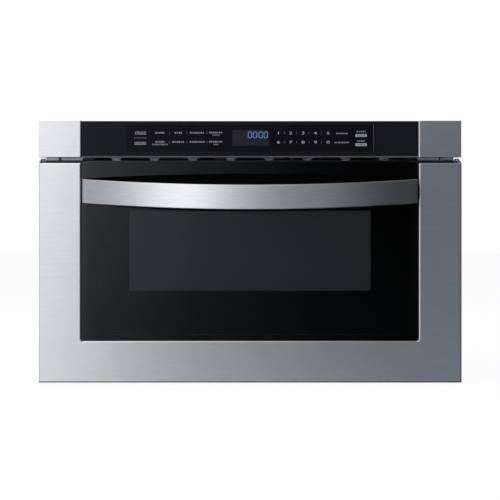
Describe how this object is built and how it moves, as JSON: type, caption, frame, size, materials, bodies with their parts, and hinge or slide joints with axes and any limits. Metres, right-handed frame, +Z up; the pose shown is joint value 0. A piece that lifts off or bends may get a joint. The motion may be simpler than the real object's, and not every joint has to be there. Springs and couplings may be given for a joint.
{
  "type": "built-in microwave drawer",
  "caption": "Built-in drawer microwave with a brushed steel and black glass front, bowed handle, touch panel and sliding basket.",
  "frame": {"origin": "middle of the footprint, on the plane of the base pan's underside", "axes": "+X to the viewer's right across the face, +Y from the front to the back, +Z up; the drawer opens towards -Y"},
  "size_m": [0.606, 0.598, 0.3777],
  "materials": {
    "brushed_stainless": "horizontal brush, satin",
    "black_glass": "tinted, polished, black behind the border",
    "touch_glass": "black back-painted, polished",
    "gloss_black": "moulded, high gloss",
    "black_plastic": "moulded, fine texture",
    "grey_plastic": "moulded, satin",
    "white_plastic": "low-friction moulded",
    "galvanised": "zinc-coated sheet, dull",
    "dark_enamel": "baked powder coat",
    "cavity_enamel": "baked enamel, satin",
    "window_mask": "black printed sheet",
    "window_screen": "perforated sheet, black",
    "clear_glass": "clear, polished",
    "ceramic": "glazed plate",
    "zinc_screw": "bright zinc plate",
    "slide_steel": "bright zinc-plated rolled steel",
    "circuit_board": "green solder mask",
    "aluminium": "plain sheet and extrusion",
    "ferrite": "dark core and tape",
    "mica": "pale microwave-clear sheet",
    "display": "dark display window"
  },
  "bodies": {
    "chassis": {"fascia_left": "brushed_stainless", "fascia_right": "brushed_stainless", "control_glass": "touch_glass", "case_screws": "zinc_screw", "slide_outers": "slide_steel", "drive_gearmotor": "grey_plastic", "rack_guide": "black_plastic", "base_pan": "galvanised", "outer_cover": "galvanised", "rear_panel": "galvanised", "cord_gland": "black_plastic", "front_frame": "galvanised", "mount_flanges": "galvanised", "oven_cavity": "cavity_enamel", "cavity_supports": "galvanised", "control_housing": "grey_plastic", "control_board": "circuit_board", "display_module": "display", "ceiling_cover": "mica", "stirrer_motor": "grey_plastic", "waveguide": "galvanised", "magnetron_yoke": "galvanised", "magnetron_core": "ferrite", "magnetron_fins": "aluminium", "magnetron_filter_box": "aluminium", "inverter_board": "circuit_board", "inverter_transformer": "ferrite", "inverter_heatsink": "aluminium", "fan_shroud": "black_plastic", "fan_motor": "dark_enamel", "air_baffle": "galvanised", "interlock_brackets": "galvanised", "interlock_switches": "black_plastic"},
    "drawer": {"drawer_front": "brushed_stainless", "front_glass": "black_glass", "window_border": "window_mask", "handle_trim": "gloss_black", "handle_bar": "brushed_stainless", "handle_mounts": "gloss_black", "handle_screws": "zinc_screw", "door_core": "dark_enamel", "choke_frame": "galvanised", "choke_cover": "black_plastic", "window_screen": "window_screen", "inner_window": "clear_glass", "door_screws": "zinc_screw", "basket": "cavity_enamel", "basket_rim": "grey_plastic", "basket_tray": "ceramic", "slide_inners": "slide_steel", "slide_brackets": "galvanised", "drawer_rack": "white_plastic", "latch_hooks": "white_plastic"},
    "slide_middles": {"slide_middle_left": "slide_steel", "slide_middle_right": "slide_steel"},
    "pinion": {"drive_pinion": "white_plastic"},
    "fan": {"fan_impeller": "grey_plastic"},
    "stirrer_wheel": {"stirrer": "aluminium"},
    "plunger_left": {"switch_plunger_left": "white_plastic"},
    "plunger_right": {"switch_plunger_right": "white_plastic"}
  },
  "joints": [
    {"name": "drawer_slide", "type": "slide", "parent": "chassis", "child": "drawer", "axis": [0, -1, 0], "range_m": [0, 0.4]},
    {"name": "slide_middle_travel", "type": "slide", "parent": "chassis", "child": "slide_middles", "axis": [0, -1, 0], "range_m": [0, 0.2]},
    {"name": "pinion_spin", "type": "hinge", "parent": "chassis", "child": "pinion", "pos_m": [0.01658, -0.187, 0.027], "axis": [0, 0, 1], "continuous": true},
    {"name": "fan_spin", "type": "hinge", "parent": "chassis", "child": "fan", "pos_m": [-0.064, 0.178, 0.3162], "axis": [1, 0, 0], "continuous": true},
    {"name": "stirrer_spin", "type": "hinge", "parent": "chassis", "child": "stirrer_wheel", "pos_m": [0, -0.0065, 0.2722], "axis": [0, 0, 1], "continuous": true},
    {"name": "plunger_left_press", "type": "slide", "parent": "chassis", "child": "plunger_left", "axis": [0, 1, 0], "range_m": [0, 0.0012], "stiffness_N_per_m": 400, "springref_m": -0.001},
    {"name": "plunger_right_press", "type": "slide", "parent": "chassis", "child": "plunger_right", "axis": [0, 1, 0], "range_m": [0, 0.0012], "stiffness_N_per_m": 400, "springref_m": -0.001}
  ],
  "couplings": [
    {"joint": "slide_middle_travel", "follows": "drawer_slide", "ratio": 0.5},
    {"joint": "pinion_spin", "follows": "drawer_slide", "rad_per_m": 74.074}
  ]
}
